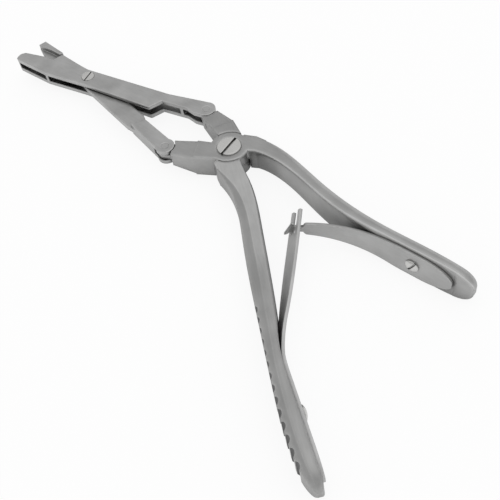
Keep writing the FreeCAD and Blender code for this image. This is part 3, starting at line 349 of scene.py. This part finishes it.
def faces_along(node, place, turn):
    """Centre and normal of every face, in a frame at the place whose X axis is turned about Z."""
    count = len(node.data.polygons)
    centre = np.empty(count * 3)
    normal = np.empty(count * 3)
    node.data.polygons.foreach_get("center", centre)
    node.data.polygons.foreach_get("normal", normal)
    c, s = math.cos(turn), math.sin(turn)
    back = np.array([[c, -s, 0.0], [s, c, 0.0], [0.0, 0.0, 1.0]])
    frame_of = np.array(node.matrix_world)
    centre = centre.reshape(-1, 3) @ frame_of[:3, :3].T + frame_of[:3, 3]
    normal = normal.reshape(-1, 3) @ frame_of[:3, :3].T
    return (centre - np.array(place)) @ back, normal @ back


def mark(node, faces, number):
    """Give the chosen faces the material with this number."""
    numbers = np.empty(len(node.data.polygons), dtype=np.int32)
    node.data.polygons.foreach_get("material_index", numbers)
    numbers[faces] = number
    node.data.polygons.foreach_set("material_index", numbers)
    node.data.update()


# These faces get the painted highlight of the inner bevel
def on_inner_bevel(centre, normal):
    """Faces of the bevel along the upper handle's inner side: behind the joint, leaning up and
    towards the other handle, and not flat."""
    up = normal[:, 2]
    return (up > 0.25) & (up < 0.95) & (normal[:, 1] < -0.25) & (centre[:, 0] > 0.006)


# These faces get painted light, strongest near the joint
def on_top(centre, normal):
    """Flat faces on top of the lower handle behind the joint, with its shoulder."""
    return (normal[:, 2] > 0.9) & (centre[:, 0] > 0.004) & (centre[:, 2] > -0.0025)


# These faces get the painted shade of the notches
def in_notches(centre, normal):
    """Faces of the grip notches: circles at an even pitch, whose middles stand the radius less
    the depth outside the outer face. With s the share of the row from its first notch to its
    last, that face bulges out by 4 s (1 - s) and falls in by s ^ 6, each times its size."""
    number = np.arange(NOTCHES)
    share = number / (NOTCHES - 1)
    along = NOTCH_FIRST + NOTCH_PITCH * number
    out = (NOTCH_DEPTH - NOTCH_RADIUS - NOTCH_LINE - NOTCH_BULGE * 4 * share * (1 - share)
           + NOTCH_FALL * share ** 6)
    gap = np.hypot(centre[:, 0][:, None] - along, centre[:, 1][:, None] - out)
    return (gap.min(1) < NOTCH_RADIUS + NOTCH_MARGIN) & (np.abs(normal[:, 2]) < 0.4)


def round_edges(piece, width, angle):
    """Round the edges sharper than the angle, with the piece's last material on the rounding."""
    edge = piece.modifiers.new("broken_edges", "BEVEL")
    edge.width = width
    edge.segments = 2
    edge.limit_method = "ANGLE"
    edge.angle_limit = angle
    edge.material = len(piece.data.materials) - 1


def break_edges(node, width):
    """Broken edges on a CAD node, whose loose triangles are welded first."""
    weld = node.modifiers.new("weld", "WELD")
    weld.merge_threshold = 0.000002
    round_edges(node, width, math.radians(28))


def soften(piece, width):
    """Broken edges on a new piece, shaded smooth but for its sharp edges."""
    piece.data.polygons.foreach_set("use_smooth", [True] * len(piece.data.polygons))
    round_edges(piece, width, math.radians(40))


# New pieces


def new_piece(name, points, faces):
    """A closed mesh from its points and faces, with the faces turned outwards."""
    mesh = bpy.data.meshes.new(name)
    mesh.from_pydata(points.tolist(), [], faces)
    mesh.validate()
    shell = bmesh.new()
    shell.from_mesh(mesh)
    bmesh.ops.recalc_face_normals(shell, faces=shell.faces)
    shell.to_mesh(mesh)
    shell.free()
    piece = bpy.data.objects.new(name, mesh)
    bpy.context.scene.collection.objects.link(piece)
    return piece


def turned_about_z(points, turn):
    """Points with X and Y turned about the Z axis."""
    c, s = math.cos(turn), math.sin(turn)
    points[:, :2] = points[:, :2] @ np.array([[c, s], [-s, c]])
    return points


def ramp(x, start, length):
    """0 up to the start, 1 from the length behind it on, and an even rise between."""
    return np.clip((x - start) / length, 0.0, 1.0)


def leaf_line(seat, bend, sweep, free, side, thickness, spacing):
    """Middle line of a leaf in its own plane and the direction across its thickness.

    Straight from the held end at x = seat to 0, then a circle through the sweep, then straight
    on for the free length. The bend is the radius of the outer face, so the middle line's is
    half the thickness less; side is +1 or -1, the way the leaf bends and the side of its seat
    it lies on."""
    radius = bend - thickness / 2
    length = seat + radius * sweep + free
    along = np.linspace(0.0, length, int(length / spacing) + 2)
    turned = np.clip((along - seat) / radius, 0.0, sweep)
    past = np.clip(along - seat - radius * sweep, 0.0, None)
    before = np.clip(seat - along, 0.0, None)
    x = before - radius * np.sin(turned) - past * np.cos(sweep)
    y = radius * (1 - np.cos(turned)) + past * np.sin(sweep)
    line = np.stack([x, side * y], 1)
    line[:, 1] += side * thickness / 2
    across = np.stack([np.sin(turned), side * np.cos(turned)], 1)
    return line, across


def rounded_end(x, seat, reach):
    """Share of the full width along a leaf: 1, and over the reach before the fixed end it falls
    along a superellipse of power 2.2 to about a fifth."""
    depth = np.clip((x - seat + reach) / (reach * 1.015), 0.0, 1.0)
    return (1.0 - depth ** 2.2) ** (1.0 / 2.2)


def twist_share(x):
    """How much of its twist a leaf has at x: none up to 4.5 mm past the line where it leaves its
    handle, then 1 - exp(-(s / 11 mm) ^ 1.2), with s the length from there."""
    past = np.clip(-x - 0.0045, 0.0, None)
    return 1.0 - np.exp(-(past / 0.011) ** 1.2)


def leaf_mesh(name, line, across, width, gap_half, gap_from, thickness, turn, place, twist, slant):
    """A closed strip: the middle line times the width, which is half the leaf's full one.

    Each row is twisted by an angle about the line, its top towards the across direction, and
    slanted, each point moved back along the leaf by the slant times its height.

    The grid runs along the line and over fixed shares of the width; the two middle columns
    stand at the edges of the fork's gap and the strip between them is left open from gap_from,
    or nowhere without it. The strip is thickened by moving both faces half the thickness along
    the across direction, and the outline of the strip is closed by walls."""
    inner = np.minimum(gap_half, width * 0.6)
    share = np.array([0.0, 0.25, 0.5, 0.75, 1.0])
    high = inner[:, None] + (width - inner)[:, None] * share
    across_width = np.concatenate([-high[:, ::-1], high], 1)
    rows, columns = across_width.shape
    side = 1.0 if across[0, 1] > 0 else -1.0
    back = np.stack([side * across[:, 1], -side * across[:, 0]], 1)
    sheets = []
    for off in (-thickness / 2, thickness / 2):
        sideways = off * np.cos(twist)[:, None] + np.sin(twist)[:, None] * across_width
        grid = np.empty((rows, columns, 3))
        grid[..., :2] = (line[:, None] + across[:, None] * sideways[..., None]
                         + back[:, None] * (slant[:, None] * across_width)[..., None])
        grid[..., 2] = np.cos(twist)[:, None] * across_width - off * np.sin(twist)[:, None]
        sheets.append(grid.reshape(-1, 3))
    number = np.arange(rows * columns).reshape(rows, columns)
    keep = np.ones((rows - 1, columns - 1), bool)
    if gap_from is not None:
        keep[line[:-1, 0] < gap_from, columns // 2 - 1] = False
    corners = np.stack([number[:-1, :-1], number[1:, :-1], number[1:, 1:], number[:-1, 1:]], -1)
    near = corners[keep]
    far = near[:, ::-1] + rows * columns
    walls = wall_faces(near, rows * columns)
    points = turned_about_z(np.concatenate(sheets), turn) + np.array(place)
    return new_piece(name, points, near.tolist() + far.tolist() + walls.tolist())


def wall_faces(faces, step):
    """Walls on every edge that only one face of a sheet uses, down to its copy step points on.

    Each edge has a number, its start times the step plus its end; it is on the rim when no edge
    has the number of its way back."""
    start = faces.ravel()
    end = np.roll(faces, -1, axis=1).ravel()
    rim = ~np.isin(start * step + end, end * step + start)
    start, end = start[rim], end[rim]
    return np.stack([end, start, start + step, end + step], 1)


def slotted_screw(name, place, lean, radius, shank, half, depth, rim, length, foot, turn, dome):
    """A screw as one closed surface, with its slot's half width and depth, the rim's bevel, the
    length of the head and the foot of the shank below the head's top.

    The head is a disc cut into columns along its slot. In each column the rows run from one
    side of the circle to the other, v = -sqrt(R^2 - u^2) .. -half, -half .. half, half .. +sqrt,
    and the rows inside the slot lie deeper. The height falls off by dome * (r / R)^2. The rim,
    the underside and the shank are rings over the same outline; lean turns the screw's +Z."""
    count = 49
    reach = math.sqrt(radius ** 2 - half ** 2)
    u = reach * np.sin(np.linspace(-math.pi / 2, math.pi / 2, count))
    edge = np.sqrt(radius ** 2 - u ** 2)
    inset = np.maximum(edge - rim, half * 1.001)
    share = np.linspace(0.0, 1.0, 5)
    far = half + (inset[:, None] - half) * share
    upper = np.concatenate([edge[:, None], far[:, ::-1], np.full((count, 1), half)], 1)
    v = np.concatenate([-upper, upper[:, ::-1]], 1)
    level = np.zeros_like(v)
    level[:, 0] = level[:, -1] = -rim
    middle = v.shape[1] // 2
    level[:, middle - 1:middle + 1] = -depth
    far_out = (u[:, None] ** 2 + v ** 2) / radius ** 2
    level -= dome * far_out
    level[:, middle - 1:middle + 1] += dome * far_out[:, middle - 1:middle + 1]
    top = np.stack([np.broadcast_to(u[:, None], v.shape), v, level], -1)
    rows, columns = v.shape
    number = np.arange(rows * columns).reshape(rows, columns)
    cap = np.stack([number[:-1, :-1], number[1:, :-1], number[1:, 1:], number[:-1, 1:]], -1)
    around = np.concatenate([number[:, -1], number[::-1, 0]])
    points = [top.reshape(-1, 3)]
    ring = points[0][around, :2]
    outline = ring / np.linalg.norm(ring, axis=1)[:, None]
    faces = [cap.reshape(-1, 4)]
    last = around
    first = rows * columns
    for wide, low in ((radius, length), (shank, length), (shank, foot), (shank * 0.02, foot)):
        points.append(np.concatenate([outline * wide, np.full((len(outline), 1), -low)], 1))
        fresh = first + np.arange(len(outline))
        faces.append(np.stack([last, np.roll(last, -1), np.roll(fresh, -1), fresh], -1))
        last = fresh
        first += len(outline)
    spots = turned_about_z(np.concatenate(points), turn)
    spots = spots @ np.array(Euler(lean).to_matrix()).T + np.array(place)
    ends = [number[0, ::-1].tolist(), number[-1].tolist(), last.tolist()]
    return new_piece(name, spots, np.concatenate(faces).tolist() + ends)


# Operators, one for each group of like pieces


class FORCEPS_OT_handles(bpy.types.Operator):
    """Satin steel on both handles: edges lighter from polish and a painted highlight, a painted
    highlight on the upper handle's inner bevel, painted shade in the notches and painted light on the
    lower handle's top
    """

    bl_idname = "forceps.handles"
    bl_label = "Finish Handles"

    def execute(self, context):
        look = context.scene.forceps_finish
        joint = context.scene.forceps_screws.main_place
        # Broken edges lighter from polish and a painted highlight
        edge = satin_steel("handle_edge", look.polish_and_highlight_colour, 0.28, look.grain)

        # Painted highlight on the upper handle's inner bevel
        bevel = satin_steel("bevel_painted_highlight", look.bevel_highlight_colour, 0.3, look.grain, rounded=0.0009)
        # Painted highlight along the upper handle's edges
        steel = satin_steel("upper_handle_steel", look.handle_colour, 0.36, look.grain,
                            rounded=0.0014, edge_highlight=0.3, reach=0.01)
        upper = dress("upper_handle", steel, bevel, edge)
        mark(upper, on_inner_bevel(*faces_along(upper, joint, 0.0)), 1)
        break_edges(upper, look.edge_width)

        # The handle steel made 7% darker, for the lower handle
        lower_handle_tone = [c * 0.93 for c in look.handle_colour]
        # Painted highlight along the lower handle's edges
        ground = {"turn": LOWER_GRIP_TURN, "rounded": 0.0014, "edge_highlight": 0.2, "reach": 0.01}
        # Painted shade in the grip notches
        notch = satin_steel("notch_painted_shade", look.notch_shade_colour, 0.5, look.grain)
        steel = satin_steel("lower_handle_steel", lower_handle_tone, 0.36, look.grain, **ground)
        # Painted light on the lower handle's top, strongest near the joint and gone 45 mm behind it
        top = satin_steel("lower_handle_top_painted_light", lower_handle_tone, 0.34, look.grain,
                          fade=(0.012, 0.045, 0.42), **ground)
        lower = dress("lower_handle", steel, notch, top, edge)
        centre, normal = faces_along(lower, joint, LOWER_GRIP_TURN)
        mark(lower, in_notches(centre, normal), 1)
        mark(lower, on_top(centre, normal), 2)
        break_edges(lower, look.edge_width)
        return {"FINISHED"}


class FORCEPS_OT_jaws(bpy.types.Operator):
    """Satin steel on the box jaw and the through jaw, with edges lighter from polish and a painted
    highlight
    """

    bl_idname = "forceps.jaws"
    bl_label = "Finish Jaws"

    def execute(self, context):
        look = context.scene.forceps_finish
        # Painted highlight along the jaws' edges
        steel = satin_steel("jaw_steel", look.jaw_colour, 0.34, look.grain, lift=0.12,
                            rounded=0.0007, edge_highlight=0.25)
        # Broken edges lighter from polish and a painted highlight
        edge = satin_steel("jaw_edge", look.polish_and_highlight_colour, 0.26, look.grain)
        for name in ("box_jaw", "through_jaw"):
            break_edges(dress(name, steel, edge), look.edge_width * 0.8)
        return {"FINISHED"}


class FORCEPS_OT_screws(bpy.types.Operator):
    """Finely ground steel on the screws, and the jaws' steel on the arm pins"""

    bl_idname = "forceps.screws"
    bl_label = "Finish Screws and Pins"

    def execute(self, context):
        look = context.scene.forceps_finish
        steel = satin_steel("screw_steel", look.screw_colour, 0.27, look.grain * 0.7, lift=0.04)
        # Broken edges lighter from polish and a painted highlight
        edge = satin_steel("screw_edge", look.polish_and_highlight_colour, 0.22, look.grain)
        screws = context.scene.forceps_screws
        upright = (0.0, 0.0, 0.0)
        flat = {"radius": screws.main_radius, "shank": 0.0019, "half": 0.0004, "depth": 0.0008,
                "rim": 0.0002, "length": 0.00095, "foot": 0.00735, "turn": screws.main_turn,
                "dome": 0.0}
        small = {"radius": screws.jaw_radius, "shank": 0.0012, "half": 0.00022,
                 "depth": 0.00045, "rim": 0.0001, "length": 0.00062, "foot": 0.00472,
                 "turn": screws.jaw_turn, "dome": 0.0}
        domed = {"radius": screws.leaf_radius, "shank": 0.001, "half": 0.00025,
                 "depth": 0.00078, "rim": 0.00008, "length": 0.00095, "foot": 0.00395,
                 "turn": screws.leaf_turn, "dome": screws.leaf_dome}
        for name, sizes, place, lean in (
                ("main_screw", flat, screws.main_place, upright),
                ("jaw_screw", small, screws.jaw_place, upright),
                ("upper_leaf_screw", domed, screws.upper_leaf_place, (math.pi / 2, 0.0, 0.0)),
                ("lower_leaf_screw", domed, screws.lower_leaf_place,
                 (math.pi / 2, 0.0, screws.lower_leaf_lean))):
            piece = slotted_screw(name + "_turned", place, lean, **sizes)
            piece.data.materials.append(steel)
            piece.data.materials.append(edge)
            soften(piece, 0.00005)
            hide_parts(name)
            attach(piece, RIDES[name])
        pin = satin_steel("pin_steel", look.jaw_colour, 0.34, look.grain)
        for name in ("upper_arm_pin", "lower_arm_pin"):
            dress(name, pin)
        return {"FINISHED"}


class FORCEPS_OT_upper_leaf(bpy.types.Operator):
    """The upper leaf spring: it tapers to a tongue with a cross bar that hooks the other leaf"""

    bl_idname = "forceps.upper_leaf"
    bl_label = "Upper Leaf Spring"

    def execute(self, context):
        leaf = context.scene.forceps_leaves
        look = context.scene.forceps_finish
        line, across = leaf_line(leaf.upper_seat, leaf.upper_bend, leaf.upper_sweep, 0.0, -1.0,
                                 leaf.thickness, 0.0004)
        x = line[:, 0]
        tip = -x[-1]
        wide, taper, tongue, bar = 0.0043, 0.002, 0.00095, 0.0021
        places = np.array([-tip, -tip + 0.0006, -tip + 0.0009, -0.0216, -0.0212, 0.003])
        halves = np.array([bar, bar, tongue, tongue, taper, wide])
        width = np.interp(x, places, halves) * rounded_end(x, leaf.upper_seat, 0.0095)
        slant = math.tan(leaf.lower_twist) * ramp(-x, tip - 0.003, 0.0015)
        piece = leaf_mesh("upper_leaf", line, across, width, 0.0002, None, leaf.thickness, 0.0,
                          leaf.upper_place, np.zeros(len(x)), slant)
        piece.data.materials.append(satin_steel("spring_steel", look.spring_colour, 0.33,
                                                look.grain, shaded=0.85, metal=0.75))
        # Broken edges lighter from polish and a painted highlight
        piece.data.materials.append(satin_steel("spring_edge", look.polish_and_highlight_colour, 0.26, look.grain))
        soften(piece, 0.00012)
        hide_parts("upper_leaf_spring")
        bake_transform(piece)
        return {"FINISHED"}


class FORCEPS_OT_lower_leaf(bpy.types.Operator):
    """The lower leaf spring: it tapers to a fork that the cross bar of the other leaf hooks"""

    bl_idname = "forceps.lower_leaf"
    bl_label = "Lower Leaf Spring"

    def execute(self, context):
        leaf = context.scene.forceps_leaves
        look = context.scene.forceps_finish
        line, across = leaf_line(leaf.lower_seat, leaf.lower_bend, leaf.lower_sweep,
                                 leaf.lower_free, 1.0, leaf.thickness, 0.0005)
        x = line[:, 0]
        tip = -x[-1]
        wide, fork, gap, gap_depth = 0.0043, 0.0029, 0.0015, 0.0073
        width = (np.interp(x, [-tip, 0.0041], [fork, wide])
                 * rounded_end(x, leaf.lower_seat, 0.0065))
        twist = leaf.lower_twist * twist_share(x)
        slant = 0.4 * ramp(-x, tip - 0.014, 0.007)
        piece = leaf_mesh("lower_leaf", line, across, width, gap, gap_depth - tip,
                          leaf.thickness, leaf.lower_turn, leaf.lower_place, twist, slant)
        # Painted light: the spring steel 30% lighter on the lower leaf, against the shade it lies in
        # beside its handle, and with no painted shade in hollows
        lighter = [c * 1.3 for c in look.spring_colour]
        piece.data.materials.append(satin_steel("lower_spring_painted_light", lighter, 0.4, look.grain,
                                                shaded=1.0, metal=0.4))
        # Broken edges lighter from polish and a painted highlight
        piece.data.materials.append(bpy.data.materials["spring_edge"])
        soften(piece, 0.00012)
        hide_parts("lower_leaf_spring")
        start = np.array(leaf.lower_place)
        reach = np.array([[*line[-1], 0.0]]) * BLEND_SHARE
        end = start + turned_about_z(reach, leaf.lower_turn)[0]
        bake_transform(piece)
        return {"FINISHED"}


class FORCEPS_OT_stage(bpy.types.Operator):
    """Plain pale floor, soft studio light and the camera"""

    bl_idname = "forceps.stage"
    bl_label = "Stage"

    def execute(self, context):
        stage = context.scene.forceps_stage
        wide_floor(stage.floor_colour, stage.floor_glow, stage.mirrored_glow)
        even_world(stage.world_light)
        soft_box("key_light", (0.05, 0.1, 0.9), (0.0, 0.0, 0.0), 0.9, stage.lamp_power)
        lens = bpy.data.cameras.new("camera")
        lens.lens = stage.lens
        lens.sensor_width = 36.0
        lens.clip_start = 0.005
        camera = bpy.data.objects.new("camera", lens)
        camera.location = stage.camera_place
        camera.rotation_euler = stage.camera_turn
        context.scene.collection.objects.link(camera)
        context.scene.camera = camera
        context.scene.view_settings.view_transform = "Standard"
        return {"FINISHED"}


def wide_floor(colour, seen, mirrored):
    """A wide plane just under the object, matt and with shadows. The seen share of it is plain
    white to the camera, and the mirrored share in reflections."""
    half = 3.0
    level = -0.00002
    mesh = bpy.data.meshes.new("floor")
    mesh.from_pydata([(-half, -half, level), (half, -half, level), (half, half, level),
                      (-half, half, level)], [], [(0, 1, 2, 3)])
    floor = bpy.data.objects.new("floor", mesh)
    bpy.context.scene.collection.objects.link(floor)
    paint = bpy.data.materials.new("floor_paint")
    tree = empty_tree(paint)
    ray = add_node(tree, "ShaderNodeLightPath")
    in_steel = add_node(tree, "ShaderNodeMath", {0: ray.outputs["Is Glossy Ray"], 1: mirrored},
                        operation="MULTIPLY")
    amount = add_node(tree, "ShaderNodeMath",
                      {0: ray.outputs["Is Camera Ray"], 1: seen, 2: in_steel.outputs["Value"]},
                      operation="MULTIPLY_ADD")
    plain = add_node(tree, "ShaderNodeBsdfDiffuse", {"Color": tuple(colour) + (1.0,)})
    glow = add_node(tree, "ShaderNodeEmission",
                    {"Color": (1.0, 1.0, 1.0, 1.0), "Strength": 1.06})
    both = add_node(tree, "ShaderNodeMixShader",
                    {"Fac": amount.outputs["Value"], 1: plain.outputs["BSDF"],
                     2: glow.outputs["Emission"]})
    add_node(tree, "ShaderNodeOutputMaterial", {"Surface": both.outputs["Shader"]})
    mesh.materials.append(paint)


def even_world(strength):
    """An even studio world of this strength, and white where the camera sees it."""
    world = bpy.data.worlds.new("studio")
    tree = empty_tree(world)
    bpy.context.scene.world = world
    ray = add_node(tree, "ShaderNodeLightPath")
    tone = add_node(tree, "ShaderNodeMix", {0: ray.outputs["Is Camera Ray"], 2: strength, 3: 1.0},
                    data_type="FLOAT")
    light = add_node(tree, "ShaderNodeBackground", {"Strength": tone.outputs[0]})
    add_node(tree, "ShaderNodeOutputWorld", {"Surface": light.outputs["Background"]})


def soft_box(name, place, target, size, power):
    """A square area lamp that looks at the target."""
    lamp = bpy.data.lights.new(name, "AREA")
    lamp.shape = "SQUARE"
    lamp.size = size
    lamp.energy = power
    holder = bpy.data.objects.new(name, lamp)
    holder.location = place
    way = Vector(target) - Vector(place)
    holder.rotation_euler = way.to_track_quat("-Z", "Y").to_euler()
    bpy.context.scene.collection.objects.link(holder)


class FORCEPS_PT_looks(bpy.types.Panel):
    """Panel with every step of the forceps"""

    bl_label = "Forceps"
    bl_idname = "FORCEPS_PT_looks"
    bl_space_type = "VIEW_3D"
    bl_region_type = "UI"
    bl_category = "Forceps"

    def draw(self, context):
        for step in STEPS:
            self.layout.operator(step.bl_idname)
        for group in (context.scene.forceps_finish, context.scene.forceps_leaves,
                      context.scene.forceps_screws, context.scene.forceps_stage):
            box = self.layout.box()
            for name in group.bl_rna.properties.keys():
                if name not in ("rna_type", "name"):
                    box.prop(group, name)


GROUPS = (ForcepsFinish, LeafSprings, ForcepsScrews, ForcepsStage)
STEPS = (FORCEPS_OT_handles, FORCEPS_OT_jaws, FORCEPS_OT_screws, FORCEPS_OT_upper_leaf,
         FORCEPS_OT_lower_leaf, FORCEPS_OT_stage)


def register():
    for group in GROUPS + STEPS + (FORCEPS_PT_looks,):
        bpy.utils.register_class(group)
    bpy.types.Scene.forceps_finish = bpy.props.PointerProperty(type=ForcepsFinish)
    bpy.types.Scene.forceps_leaves = bpy.props.PointerProperty(type=LeafSprings)
    bpy.types.Scene.forceps_screws = bpy.props.PointerProperty(type=ForcepsScrews)
    bpy.types.Scene.forceps_stage = bpy.props.PointerProperty(type=ForcepsStage)


def unregister():
    del bpy.types.Scene.forceps_stage
    del bpy.types.Scene.forceps_screws
    del bpy.types.Scene.forceps_leaves
    del bpy.types.Scene.forceps_finish
    for group in reversed(GROUPS + STEPS + (FORCEPS_PT_looks,)):
        bpy.utils.unregister_class(group)


def main():
    register()
    bpy.ops.forceps.handles()
    bpy.ops.forceps.jaws()
    bpy.ops.forceps.screws()
    bpy.ops.forceps.upper_leaf()
    bpy.ops.forceps.lower_leaf()
    bpy.ops.forceps.stage()


if __name__ == "__main__":
    main()
